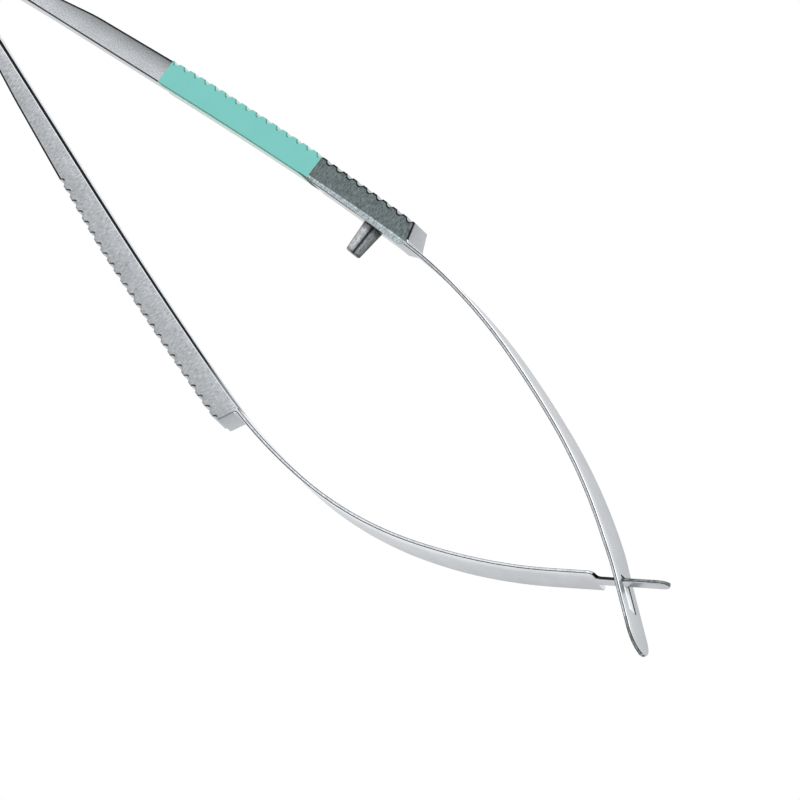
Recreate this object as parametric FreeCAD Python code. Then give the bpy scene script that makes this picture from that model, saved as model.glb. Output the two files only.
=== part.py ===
import FreeCAD, Part
import math
import os

# Spring-handled micro scissors, open, lying on their side. Sizes are in millimetres, angles in degrees.
# +X runs from the rear joint to the tips, +Y towards the upper handle, +Z along the bending axes.
# Each half is drawn as if it were the upper one, and the lower half is then mirrored in Y.
# A station is the distance along a half's inner face from its rear end.

# Whole instrument
half_angle = 10.05         # from the mid line to each handle's inner face, just ahead of the rear bend
leaf_width = 3.9           # thin forged parts: rear tab and arm
bar_width = 2.5            # the handle's bar
upper_bar_thickness = 2.2
lower_bar_thickness = 2.15
leaf_thickness = 0.35      # the arms
rear_leaf_thickness = 0.7  # the rear tabs and the spring part ahead of them

# Rear joint
spacer_thickness = 1.0
tab_length = 10.56
rear_bend_radius = 18.0
tab_corner_radius = 1.2
rivet_radius = 0.7
rivet_head_radius = 1.15
rivet_head_height = 0.45
rivet_end_distance = 2.6   # from the rear end to the first rivet
rivet_spacing = 4.6

# Handles: each bar thickens quickly to a knee and then slowly to its full size.
knee_station = 28.0
upper_knee_thickness = 1.95
lower_knee_thickness = 1.5
upper_taper_end = 41.0     # station where the bar has its full thickness
lower_taper_end = 46.0
upper_thinning_start = 57.0
upper_front_thickness = 2.02
bow_start = 40.0           # from here on both handles bow outwards a little
bow_radius = 735.0
rear_flare_start = 15.5    # stations between which the wide leaf narrows to the bar
rear_flare_end = 23.5
upper_handle_end = 68.35   # station of the bar's outer front corner
lower_handle_end = 67.95
end_lean = 0.6             # the front end's foot lies this far ahead of its outer corner
root_fillet = 0.6
scallop_pitch = 1.2925
scallop_count = 24
scallop_depth = 0.25
scallop_mouth = 0.78       # width of a groove at the bar's outer face
last_scallop = 67.82       # station of the last groove's middle

# Heel: ahead of the colour band the upper bar's inner face stands proud, more so towards the front.
heel_start_depth = 0.1
heel_end_depth = 0.28
heel_ramp = 0.6
heel_gap = 0.1             # from the colour band

# Colour band on the upper handle
band_start = 37.62
band_length = 18.85
band_wall = 0.06

# Stop pin on the upper handle
pin_station = 64.4
pin_length = 2.75
pin_base_radius = 0.875
pin_end_radius = 0.7
pin_end_chamfer = 0.12
pin_shank_radius = 0.55
pin_shank_length = 1.3

# Arms
root_flare_length = 7.0    # from the bar's end to the leaf's full width
upper_bow_end = 66.0       # station where the handle's slow bow ends and the arm's first arc begins
upper_root_radius = 68.5
upper_root_angle = 15.9
upper_middle_radius = 131.8
upper_middle_angle = 3.9
upper_front_radius = 67.6
upper_front_angle = 13.55
upper_narrowing = 3.3      # length over which the upper arm narrows to its blade
lower_bow_end = 65.0
lower_root_radius = 72.0
lower_root_angle = 11.15
lower_middle_radius = 42.65
lower_middle_angle = 17.45
lower_front_radius = 60.3
lower_front_angle = 13.3
lower_narrowing = 11.0
blade_width = 3.3
upper_tip_reach = 7.55     # from the crossing to each tip
lower_tip_reach = 4.55
upper_tip_round = 2.0      # length of each tip's rounded end
lower_tip_round = 0.9

# Crossing: the lower arm's neck stands in the upper arm's slot
neck_width = 1.0
tongue_width = 1.15
tongue_start = 1.2         # ahead of the crossing
near_shoulder = 2.0        # behind the crossing, on the side of +Z
far_shoulder = 2.6
near_shoulder_round = 0.5
neck_fillet = 0.3
far_neck_fillet = 0.15
slot_side_clearance = 0.075
slot_end_clearance = 0.14
slot_front_reach = 3.05    # ahead of the crossing

# Bending places
arm_bend_station = 79.45
bend_gap = 0.04            # between the two nodes of one half at a bending place


def ray(heading):
    """Unit vector in the flat of the motion."""
    return FreeCAD.Vector(math.cos(math.radians(heading)), math.sin(math.radians(heading)), 0)


def left_of(heading):
    return ray(heading + 90)


class Trail:
    """A half's inner face seen along Z: straight runs and tangent arcs, walked from the rear."""

    def __init__(self, start, heading, first_station, runs, bar):
        self.start = start
        self.heading = heading
        self.first_station = first_station
        self.runs = runs
        self.bar = bar

    def bar_at(self, station):
        """Thickness of the bar at a station, without its grooves and its front end."""
        for (a, thin), (b, thick) in zip(self.bar, self.bar[1:]):
            if station <= b:
                return thin + (thick - thin) * (station - a) / (b - a)
        return self.bar[-1][1]

    def at(self, station, offset=0.0):
        """Point at a station, moved outwards by offset, and the heading there."""
        point = self.start
        heading = self.heading
        left = station - self.first_station
        for index, (length, turn) in enumerate(self.runs):
            last = index == len(self.runs) - 1
            step = left if last else min(left, length)
            turned = turn * step / length
            if abs(turn) < 1e-9:
                point = point + ray(heading) * step
            else:
                radius = length / math.radians(turn)
                point = point + left_of(heading) * radius - left_of(heading + turned) * radius
            heading += turned
            left -= step
            if left <= 0:
                break
        return point + left_of(heading) * offset, heading

    def joints(self):
        """Stations where one run ends and the next begins."""
        stations = [self.first_station]
        for length, _ in self.runs:
            stations.append(stations[-1] + length)
        return stations

    def edges(self, first, last, offset=0.0):
        """Edges from one station to a later one, moved outwards by offset."""
        stops = [first] + [s for s in self.joints()[1:-1] if first + 1e-6 < s < last - 1e-6] + [last]
        made = []
        for begin, end in zip(stops, stops[1:]):
            a, heading_a = self.at(begin, offset)
            b, heading_b = self.at(end, offset)
            if abs(heading_a - heading_b) < 1e-6:
                made.append(Part.LineSegment(a, b).toShape())
            else:
                middle, _ = self.at((begin + end) / 2, offset)
                made.append(Part.Arc(a, middle, b).toShape())
        return made


def line(a, b):
    return Part.LineSegment(a, b).toShape()


def face_of(edges):
    return Part.Face(Part.Wire(Part.__sortEdges__(edges)))


def slab(edges, width):
    """The closed outline as a solid that is centred on the plane of the motion."""
    body = face_of(edges).extrude(FreeCAD.Vector(0, 0, width))
    body.translate(FreeCAD.Vector(0, 0, -width / 2))
    return body


def side_view(points_and_half_widths, rear_corner=0.0):
    """A long block along Y whose width in Z follows the given half widths along X."""
    tall = 4 * leaf_width + 2 * upper_bow_end
    top = [FreeCAD.Vector(x, -tall / 2, half) for x, half in points_and_half_widths]
    low = [FreeCAD.Vector(x, -tall / 2, -half) for x, half in points_and_half_widths]
    edges = [line(a, b) for a, b in zip(top, top[1:])] + [line(a, b) for a, b in zip(low, low[1:])]
    edges.append(line(top[-1], low[-1]))
    if rear_corner:
        edges[0] = line(top[0] + FreeCAD.Vector(rear_corner, 0, 0), top[1])
        edges[len(top) - 1] = line(low[0] + FreeCAD.Vector(rear_corner, 0, 0), low[1])
        inset = rear_corner * (1 - math.sqrt(0.5))
        for corner, sign in ((top[0], 1), (low[0], -1)):
            edges.append(Part.Arc(
                corner + FreeCAD.Vector(rear_corner, 0, 0),
                corner + FreeCAD.Vector(inset, 0, -sign * inset),
                corner + FreeCAD.Vector(0, 0, -sign * rear_corner)).toShape())
        edges.append(line(top[0] - FreeCAD.Vector(0, 0, rear_corner),
                          low[0] + FreeCAD.Vector(0, 0, rear_corner)))
    else:
        edges.append(line(top[0], low[0]))
    return face_of(edges).extrude(FreeCAD.Vector(0, tall, 0))


# Trails of the two halves, both in the upper half's place
bend_start = tab_length
bend_end = tab_length + rear_bend_radius * math.radians(half_angle)
bend_tangent = rear_bend_radius * math.tan(math.radians(half_angle / 2))


def arc_run(radius, turn):
    return (radius * math.radians(abs(turn)), turn)


def bow_run(end):
    """The handle's slow outward bow, up to its end station."""
    return arc_run(bow_radius, -math.degrees((end - bow_start) / bow_radius))


upper_arcs = [
    arc_run(upper_root_radius, -upper_root_angle),
    arc_run(upper_middle_radius, -upper_middle_angle),
    arc_run(upper_front_radius, -upper_front_angle)]
lower_arcs = [
    arc_run(lower_root_radius, -lower_root_angle),
    arc_run(lower_middle_radius, -lower_middle_angle),
    arc_run(lower_front_radius, -lower_front_angle)]
straight_front = [(3 * upper_tip_reach, 0)]

rear_corner_point = FreeCAD.Vector(0, spacer_thickness / 2, 0)
upper_trail = Trail(
    rear_corner_point, 0, 0,
    [(tab_length, 0), arc_run(rear_bend_radius, half_angle), (bow_start - bend_end, 0), bow_run(upper_bow_end)]
    + upper_arcs + straight_front,
    [(bend_end, rear_leaf_thickness), (knee_station, upper_knee_thickness),
     (upper_taper_end, upper_bar_thickness), (upper_thinning_start, upper_bar_thickness),
     (upper_handle_end, upper_front_thickness)])

# The lower half bends at one line in its tab, so its handle runs straight from there to its bow.
lower_vertex = rear_corner_point + FreeCAD.Vector(tab_length + bend_tangent, 0, 0)
lower_trail = Trail(
    lower_vertex, half_angle, bend_end - bend_tangent,
    [(bow_start - bend_end + bend_tangent, 0), bow_run(lower_bow_end)] + lower_arcs + straight_front,
    [(bend_end, rear_leaf_thickness), (knee_station, lower_knee_thickness),
     (lower_taper_end, lower_bar_thickness), (lower_handle_end, lower_bar_thickness)])

upper_curve_end = upper_bow_end + sum(length for length, _ in upper_arcs)
lower_curve_end = lower_bow_end + sum(length for length, _ in lower_arcs)


def crossing_stations():
    """Stations on the upper and the lower half where the middles of the two straight blades meet."""
    a, heading_a = upper_trail.at(upper_curve_end, leaf_thickness / 2)
    b, heading_b = lower_trail.at(lower_curve_end, leaf_thickness / 2)
    b = FreeCAD.Vector(b.x, -b.y, 0)
    u = ray(heading_a)
    v = ray(-heading_b)
    gap = b - a
    cross = u.x * v.y - u.y * v.x
    along_a = (gap.x * v.y - gap.y * v.x) / cross
    along_b = (gap.x * u.y - gap.y * u.x) / cross
    return upper_curve_end + along_a, lower_curve_end + along_b, abs(heading_a + heading_b)


upper_crossing, lower_crossing, crossing_angle = crossing_stations()
neck_footprint = leaf_thickness / 2 * (
    1 / math.sin(math.radians(crossing_angle)) + 1 / math.tan(math.radians(crossing_angle)))


def arm_root(trail):
    """Station of the foot of a bar's front end."""
    return trail.bar[-1][0] + end_lean


def heel_points():
    """The heel's corners on the upper bar's inner side, from the rear."""
    start = band_start + band_length + heel_gap
    front = upper_handle_end
    return [(start, 0), (start + heel_ramp, heel_start_depth), (front, heel_end_depth), (front + heel_ramp, 0)]


def bar_edges(trail, inner_rear_edges, outer_rear_edges, first_inner, inner_corners=()):
    """Outline of a handle from its rear edges to the bending place in the arm's root."""
    stop = arm_bend_station - leaf_thickness / 2 - bend_gap
    edges = list(inner_rear_edges)
    if inner_corners:
        edges += trail.edges(first_inner, inner_corners[0][0])
        proud = [trail.at(station, -depth)[0] for station, depth in inner_corners]
        edges += [line(a, b) for a, b in zip(proud, proud[1:])]
        first_inner = inner_corners[-1][0]
    edges += trail.edges(first_inner, stop)
    edges.append(line(trail.at(stop)[0], trail.at(stop, leaf_thickness)[0]))
    edges += trail.edges(arm_root(trail), stop, leaf_thickness)
    edges.append(line(trail.at(arm_root(trail), leaf_thickness)[0], trail.at(*trail.bar[-1])[0]))
    for (a, thick_a), (b, thick_b) in zip(trail.bar, trail.bar[1:]):
        if thick_a == thick_b:
            edges += trail.edges(a, b, thick_a)
        else:
            edges.append(line(trail.at(a, thick_a)[0], trail.at(b, thick_b)[0]))
    return edges + outer_rear_edges


def handle_side_view(trail, rear):
    """Half widths of a handle: wide rear leaf, narrow bar, then the arm's root getting wide again."""
    flare_end = arm_root(trail) + root_flare_length
    stations = [rear_flare_start, rear_flare_end, arm_root(trail), flare_end]
    halves = [leaf_width / 2, bar_width / 2, bar_width / 2, leaf_width / 2]
    points = [(rear, leaf_width / 2)]
    points += [(trail.at(s)[0].x, half) for s, half in zip(stations, halves)]
    far = max(arm_bend_station, flare_end) + leaf_width
    points.append((trail.at(far)[0].x, leaf_width / 2))
    return points


def grooves(trail, radius_change=0.0):
    """Round grooves across the grip, counted back from the bar's front end."""
    radius = (scallop_mouth ** 2 / 4 + scallop_depth ** 2) / (2 * scallop_depth)
    cutters = []
    for index in range(scallop_count):
        station = last_scallop - index * scallop_pitch
        offset = trail.bar_at(station) + radius - scallop_depth
        centre, _ = trail.at(station, offset)
        cutters.append(Part.makeCylinder(
            radius - radius_change, 2 * leaf_width, centre - FreeCAD.Vector(0, 0, leaf_width)))
    return cutters


def fillet_root(body, trail):
    """Round the inner corner between the bar's front end and the arm."""
    foot, _ = trail.at(arm_root(trail), leaf_thickness)
    picked = []
    for edge in body.Edges:
        ends = [vertex.Point for vertex in edge.Vertexes]
        if len(ends) == 2 and all(math.hypot(p.x - foot.x, p.y - foot.y) < 1e-4 for p in ends):
            picked.append(edge)
    return body.makeFillet(root_fillet, picked)


def finish_handle(body, trail, rear, rear_corner):
    body = body.common(side_view(handle_side_view(trail, rear), rear_corner))
    body = fillet_root(body, trail)
    return body.cut(grooves(trail))


def rivet_hole_cutters():
    holes = []
    for index in range(2):
        x = rivet_end_distance + index * rivet_spacing
        holes.append(Part.makeCylinder(
            rivet_radius, 4 * leaf_width, FreeCAD.Vector(x, -2 * leaf_width, 0), FreeCAD.Vector(0, 1, 0)))
    return holes


def pin_base():
    """Middle of the pin's foot on the heel, and the way the pin points."""
    _, (rear, rear_depth), (front, front_depth), _ = heel_points()
    a, _ = upper_trail.at(rear, -rear_depth)
    b, _ = upper_trail.at(front, -front_depth)
    along = (b - a).normalize()
    point = a + along * (pin_station - rear)
    return point, FreeCAD.Vector(along.y, -along.x, 0)


def make_upper_handle():
    inner = upper_trail.edges(0, bend_end)
    outer = upper_trail.edges(0, bend_end, rear_leaf_thickness)
    outer.append(line(upper_trail.at(0)[0], upper_trail.at(0, rear_leaf_thickness)[0]))
    body = slab(bar_edges(upper_trail, inner, outer, bend_end, heel_points()), leaf_width)
    body = finish_handle(body, upper_trail, 0, tab_corner_radius)
    base, way = pin_base()
    hole = Part.makeCylinder(pin_shank_radius, pin_shank_length, base, -way)
    return body.cut(rivet_hole_cutters() + [hole])


def rear_hinge_point():
    """Middle of the lower half's bending place at the rear, in the upper half's place."""
    radius = rear_leaf_thickness / 2
    shift = radius * math.tan(math.radians(half_angle / 2))
    return lower_vertex + FreeCAD.Vector(-shift, radius, 0)


def make_lower_handle():
    radius = rear_leaf_thickness / 2
    hinge = rear_hinge_point()
    inner_corner = hinge - left_of(half_angle) * radius
    outer_corner = hinge + left_of(half_angle) * radius
    cap = Part.Arc(inner_corner, hinge - ray(half_angle) * radius, outer_corner).toShape()
    inner = [cap, line(inner_corner, lower_trail.at(bend_end)[0])]
    outer = [line(outer_corner, lower_trail.at(bend_end, rear_leaf_thickness)[0])]
    body = slab(bar_edges(lower_trail, inner, outer, bend_end), leaf_width)
    return finish_handle(body, lower_trail, 0, 0)


def make_lower_tab():
    front = rear_hinge_point().x - rear_leaf_thickness / 2 - bend_gap
    low = spacer_thickness / 2
    high = low + rear_leaf_thickness
    corners = [FreeCAD.Vector(x, y, 0) for x, y in ((0, low), (front, low), (front, high), (0, high))]
    body = slab([line(a, b) for a, b in zip(corners, corners[1:] + corners[:1])], leaf_width)
    body = body.common(side_view([(0, leaf_width / 2), (2 * front, leaf_width / 2)], tab_corner_radius))
    return body.cut(rivet_hole_cutters())


def make_spacer():
    body = Part.makeBox(tab_length, spacer_thickness, leaf_width,
                        FreeCAD.Vector(0, -spacer_thickness / 2, -leaf_width / 2))
    shape = side_view([(0, leaf_width / 2), (2 * tab_length, leaf_width / 2)], tab_corner_radius)
    return body.common(shape).cut(rivet_hole_cutters())


def make_rivet(index):
    """A plain shank with a low domed head on each side."""
    x = rivet_end_distance + index * rivet_spacing
    face = spacer_thickness / 2 + rear_leaf_thickness
    dome_radius = (rivet_head_radius ** 2 + rivet_head_height ** 2) / (2 * rivet_head_height)
    body = Part.makeCylinder(rivet_radius, 2 * face, FreeCAD.Vector(x, -face, 0), FreeCAD.Vector(0, 1, 0))
    for sign in (1, -1):
        outwards = FreeCAD.Vector(0, sign, 0)
        seat = FreeCAD.Vector(x, sign * face, 0)
        disc = Part.makeCylinder(rivet_head_radius, rivet_head_height, seat, outwards)
        ball = Part.makeSphere(dome_radius, seat + outwards * (rivet_head_height - dome_radius))
        body = body.fuse(disc.common(ball))
    return body.removeSplitter()


def make_pin():
    base, way = pin_base()
    body = Part.makeCone(pin_base_radius, pin_end_radius, pin_length, base, way)
    rim = [edge for edge in body.Edges
           if len(edge.Vertexes) == 1 and (edge.Vertexes[0].Point - base).dot(way) > pin_length / 2]
    body = body.makeFillet(pin_end_chamfer, rim)
    shank = Part.makeCylinder(pin_shank_radius, pin_shank_length, base, -way)
    return body.fuse(shank)


def make_band(handle):
    """A thin sleeve that follows the bar and its grooves."""
    stop = band_start + band_length
    outer = upper_bar_thickness + band_wall
    rear_inner, _ = upper_trail.at(band_start, -band_wall)
    rear_outer, _ = upper_trail.at(band_start, upper_trail.bar_at(band_start) + band_wall)
    full_outer, _ = upper_trail.at(upper_taper_end, outer)
    front_inner, _ = upper_trail.at(stop, -band_wall)
    front_outer, _ = upper_trail.at(stop, outer)
    edges = [line(rear_inner, rear_outer), line(rear_outer, full_outer), line(front_outer, front_inner)]
    edges += upper_trail.edges(band_start, stop, -band_wall)
    edges += upper_trail.edges(upper_taper_end, stop, outer)
    body = slab(edges, bar_width + 2 * band_wall)
    return body.cut(grooves(upper_trail, band_wall)).cut(handle)


def knuckle_edges(trail):
    """Rounded rear end of an arm at its bending place."""
    radius = leaf_thickness / 2
    centre, heading = trail.at(arm_bend_station, radius)
    low, _ = trail.at(arm_bend_station)
    high, _ = trail.at(arm_bend_station, leaf_thickness)
    return [Part.Arc(low, centre - ray(heading) * radius, high).toShape()]


def curved_part(trail, curve_end, narrowing):
    """The bowed leaf from its bending place to its straight blade."""
    edges = knuckle_edges(trail)
    edges += trail.edges(arm_bend_station, curve_end)
    edges += trail.edges(arm_bend_station, curve_end, leaf_thickness)
    edges.append(line(trail.at(curve_end)[0], trail.at(curve_end, leaf_thickness)[0]))
    body = slab(edges, leaf_width)
    stations = [arm_bend_station - leaf_width, curve_end - narrowing, curve_end]
    widths = [leaf_width / 2, leaf_width / 2, blade_width / 2]
    points = [(trail.at(s)[0].x, half) for s, half in zip(stations, widths)]
    points.append((points[-1][0] + leaf_width, blade_width / 2))
    return body.common(side_view(points))


def stand_up(flat, trail, station):
    """Set a flat outline, drawn with X forwards and Y across, on the trail as a plate."""
    origin, heading = trail.at(station)
    forwards = ray(heading)
    outwards = left_of(heading)
    plate = flat.extrude(FreeCAD.Vector(0, 0, -leaf_thickness))
    matrix = FreeCAD.Matrix(
        forwards.x, 0, -outwards.x, origin.x,
        forwards.y, 0, -outwards.y, origin.y,
        0, 1, 0, 0,
        0, 0, 0, 1)
    return plate.transformGeometry(matrix)


def round_end(x, length, half):
    """Half an ellipse from one side to the other, ahead of x."""
    centre = FreeCAD.Vector(x, 0, 0)
    if length > half:
        oval = Part.Ellipse(centre + FreeCAD.Vector(length, 0, 0), centre + FreeCAD.Vector(0, half, 0), centre)
        return Part.ArcOfEllipse(oval, -math.pi / 2, math.pi / 2).toShape()
    oval = Part.Ellipse(centre + FreeCAD.Vector(0, half, 0), centre - FreeCAD.Vector(length, 0, 0), centre)
    return Part.ArcOfEllipse(oval, -math.pi, 0).toShape()


def make_upper_arm():
    """The bowed leaf, then the slotted blade with its rounded tip."""
    half = blade_width / 2
    crossing = upper_crossing - upper_curve_end
    round_start = crossing + upper_tip_reach - upper_tip_round
    top = [FreeCAD.Vector(x, half, 0) for x in (0, round_start)]
    low = [FreeCAD.Vector(x, -half, 0) for x in (0, round_start)]
    outline = face_of([line(*top), line(*low), line(top[0], low[0]),
                       round_end(round_start, upper_tip_round, half)])
    slot_half = tongue_width / 2 + slot_side_clearance
    slot_rear = crossing - neck_footprint - slot_end_clearance
    slot_length = crossing + slot_front_reach - slot_rear
    slot = Part.makePlane(slot_length, 2 * slot_half, FreeCAD.Vector(slot_rear, -slot_half, 0))
    blade = stand_up(outline.cut(slot), upper_trail, upper_curve_end)
    return curved_part(upper_trail, upper_curve_end, upper_narrowing).fuse(blade)


def make_lower_arm():
    """The bowed leaf, then the blade that steps in to a neck and ends in a narrow tongue."""
    half = blade_width / 2
    neck = neck_width / 2
    tongue = tongue_width / 2
    crossing = lower_crossing - lower_curve_end
    near = crossing - near_shoulder
    far = crossing - far_shoulder
    big = near_shoulder_round
    small = neck_fillet
    tiny = far_neck_fillet
    widen = crossing + tongue_start
    round_start = crossing + lower_tip_reach - lower_tip_round

    def spot(x, y):
        return FreeCAD.Vector(x, y, 0)

    def quarter(a, centre, radius, b):
        direction = ((a - centre) + (b - centre)).normalize()
        return Part.Arc(a, centre + direction * radius, b).toShape()

    full = widen + (tongue - neck)
    edges = [
        line(spot(0, -half), spot(0, half)),
        line(spot(0, half), spot(near - big, half)),
        quarter(spot(near - big, half), spot(near - big, half - big), big, spot(near, half - big)),
        line(spot(near, half - big), spot(near, neck + small)),
        quarter(spot(near, neck + small), spot(near + small, neck + small), small, spot(near + small, neck)),
        line(spot(near + small, neck), spot(widen, neck)),
        line(spot(widen, neck), spot(full, tongue)),
        line(spot(full, tongue), spot(round_start, tongue)),
        round_end(round_start, lower_tip_round, tongue),
        line(spot(round_start, -tongue), spot(full, -tongue)),
        line(spot(full, -tongue), spot(widen, -neck)),
        line(spot(widen, -neck), spot(far + tiny, -neck)),
        quarter(spot(far + tiny, -neck), spot(far + tiny, -neck - tiny), tiny, spot(far, -neck - tiny)),
        line(spot(far, -neck - tiny), spot(far, -half)),
        line(spot(far, -half), spot(0, -half))]
    blade = stand_up(face_of(edges), lower_trail, lower_curve_end)
    return curved_part(lower_trail, lower_curve_end, lower_narrowing).fuse(blade)


def mirrored(shape):
    """The same piece in the lower half's place."""
    return shape.mirror(FreeCAD.Vector(0, 0, 0), FreeCAD.Vector(0, 1, 0))


nodes = {"upper_handle": make_upper_handle()}
nodes["upper_arm"] = make_upper_arm()
nodes["stop_pin"] = make_pin()
nodes["colour_band"] = make_band(nodes["upper_handle"])
nodes["lower_tab"] = mirrored(make_lower_tab())
nodes["lower_handle"] = mirrored(make_lower_handle())
nodes["lower_arm"] = mirrored(make_lower_arm())
nodes["rear_spacer"] = make_spacer()
for rivet_index in range(2):
    nodes["rear_rivet_%d" % (rivet_index + 1)] = make_rivet(rivet_index)

# The origin goes to the middle of the whole outline, on the surface that the part lies on.
box = Part.makeCompound(list(nodes.values())).BoundBox
shift = FreeCAD.Vector(-(box.XMin + box.XMax) / 2, -(box.YMin + box.YMax) / 2, leaf_width / 2)

os.makedirs("parts", exist_ok=True)
for name, shape in nodes.items():
    moved = shape.copy()
    moved.translate(shift)
    moved.exportStep("parts/%s.step" % name)
    print(name, "solids", len(moved.Solids), "valid", moved.isValid(), "volume %.3f" % moved.Volume)


def report(label, point, flip=False):
    placed = FreeCAD.Vector(point.x, -point.y if flip else point.y, point.z) + shift
    print("%s (%.5f, %.5f, %.5f) mm" % (label, placed.x, placed.y, placed.z))


print("size %.2f x %.2f x %.2f" % (box.XLength, box.YLength, leaf_width), "crossing angle %.2f" % crossing_angle)
report("lower handle bends at", rear_hinge_point(), flip=True)
report("upper arm bends at", upper_trail.at(arm_bend_station, leaf_thickness / 2)[0])
report("lower arm bends at", lower_trail.at(arm_bend_station, leaf_thickness / 2)[0], flip=True)
report("arms cross at", upper_trail.at(upper_crossing, leaf_thickness / 2)[0])
report("rest face", FreeCAD.Vector(tab_length / 2, 0, -leaf_width / 2))
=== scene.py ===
# %% [markdown]
# # Micro scissors
# The instrument is two strips of spring steel. Each one starts as a flat tab at the rear, thickens into a
# square handle with a grooved grip, and ends as a thin bowed leaf. The leaves cross near the tips, where a
# narrow neck on one stands in a slot in the other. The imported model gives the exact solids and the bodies
# that move. Here every surface gets its finish, and the pieces that bend get one smooth mesh each.

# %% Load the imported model
import math

import bpy
import numpy as np
from mathutils import Matrix, Vector


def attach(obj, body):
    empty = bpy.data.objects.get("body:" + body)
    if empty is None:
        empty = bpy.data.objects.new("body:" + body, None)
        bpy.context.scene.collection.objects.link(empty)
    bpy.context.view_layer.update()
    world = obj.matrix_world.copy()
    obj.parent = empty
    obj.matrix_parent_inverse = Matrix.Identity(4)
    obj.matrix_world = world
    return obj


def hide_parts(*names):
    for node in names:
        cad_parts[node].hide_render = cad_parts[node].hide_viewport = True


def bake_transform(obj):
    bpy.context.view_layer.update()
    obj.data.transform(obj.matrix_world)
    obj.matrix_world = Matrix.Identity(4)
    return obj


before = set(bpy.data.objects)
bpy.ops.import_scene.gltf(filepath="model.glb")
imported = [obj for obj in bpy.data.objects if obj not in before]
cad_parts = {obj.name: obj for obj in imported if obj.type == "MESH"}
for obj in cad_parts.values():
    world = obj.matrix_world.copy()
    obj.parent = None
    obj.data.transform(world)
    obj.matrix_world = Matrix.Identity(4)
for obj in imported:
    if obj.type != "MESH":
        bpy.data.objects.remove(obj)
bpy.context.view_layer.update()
MM = 0.001

# %% [markdown]
# ## The path of one half
# Seen from above, the inner face of a half is a chain of straight runs and arcs that touch smoothly. Walking
# such a chain is easier than joining curves by hand: each run knows its length and how far it turns. A
# station is a distance along that chain, in millimetres. Both halves are drawn as the upper one, and the
# lower one is mirrored when its mesh is made.

# %% Walk along straight runs and arcs
ORIGIN_SHIFT = (-57.946, 0.00182, 1.95)  # from the drawing's origin to the frame's, in millimetres


def arc(radius, turn):
    """A run that turns by turn degrees, left if positive."""
    return (radius * math.radians(abs(turn)), math.radians(turn))


def walker(start, runs):
    """A function from a station to (x, y, heading)."""
    def at(station):
        x, y = start
        heading = 0.0
        left = station
        for index, (length, turn) in enumerate(runs):
            step = left if index == len(runs) - 1 else min(left, length)
            turned = turn * step / length
            if abs(turn) < 1e-9:
                x += math.cos(heading) * step
                y += math.sin(heading) * step
            else:
                radius = length / turn
                x += radius * (math.sin(heading + turned) - math.sin(heading))
                y -= radius * (math.cos(heading + turned) - math.cos(heading))
            heading += turned
            left -= step
            if left <= 0:
                break
        return x, y, heading
    return at


REAR_BEND_START = 10.56
REAR_BEND = arc(18.0, 10.05)
REAR_BEND_END = REAR_BEND_START + REAR_BEND[0]
TAB_FACE = 0.5  # the rear tab lies this far from the instrument's middle line
BOW_START = 40.0
BOW_RADIUS = 735.0
BLADE_RUN = 20.0
UPPER_BOW_END = 66.0
LOWER_BOW_END = 65.0
UPPER_ARCS = [arc(68.5, -15.9), arc(131.8, -3.9), arc(67.6, -13.55)]
LOWER_ARCS = [arc(72.0, -11.15), arc(42.65, -17.45), arc(57.4, -13.97)]


def half_path(bow_end, arcs):
    """Tab, rear bend, straight handle, its slow bow, the arm's arcs and the straight blade."""
    bow = (bow_end - BOW_START, -(bow_end - BOW_START) / BOW_RADIUS)
    handle = [(REAR_BEND_START, 0), REAR_BEND, (BOW_START - REAR_BEND_END, 0), bow]
    return walker((0.0, TAB_FACE), handle + arcs + [(BLADE_RUN, 0)])


upper_path = half_path(UPPER_BOW_END, UPPER_ARCS)
lower_path = half_path(LOWER_BOW_END, LOWER_ARCS)
UPPER_CURVE_END = UPPER_BOW_END + sum(length for length, _ in UPPER_ARCS)
LOWER_CURVE_END = LOWER_BOW_END + sum(length for length, _ in LOWER_ARCS)
print("blades start at stations %.2f and %.2f" % (UPPER_CURVE_END, LOWER_CURVE_END))

# %% [markdown]
# ## Where the arms cross
# The slot, the neck and both tips are placed from the crossing, so it is worked out from the two straight
# blades: the point where their middle lines meet.

# %% Find the crossing
LEAF = 0.35


def middle_of_leaf(path, station, side):
    x, y, heading = path(station)
    return np.array([x - math.sin(heading) * LEAF / 2, side * (y + math.cos(heading) * LEAF / 2)]), side * heading


def crossing():
    a, heading_a = middle_of_leaf(upper_path, UPPER_CURVE_END, 1)
    b, heading_b = middle_of_leaf(lower_path, LOWER_CURVE_END, -1)
    u = np.array([math.cos(heading_a), math.sin(heading_a)])
    v = np.array([math.cos(heading_b), math.sin(heading_b)])
    along = np.linalg.solve(np.array([u, -v]).T, b - a)
    return UPPER_CURVE_END + along[0], LOWER_CURVE_END + along[1], abs(heading_a - heading_b)


UPPER_CROSSING, LOWER_CROSSING, CROSSING_ANGLE = crossing()
print("crossing at stations %.2f and %.2f, %.1f degrees" % (
    UPPER_CROSSING, LOWER_CROSSING, math.degrees(CROSSING_ANGLE)))

# %% [markdown]
# ## Thickness along a half
# The handle's thickness is measured outwards from the inner face. It grows from the rear leaf to the full
# bar, has a row of round grooves for the fingers, and drops at the front end in a short concave step to the
# thin arm. All of that is one number for each station, so one function holds it.

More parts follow.
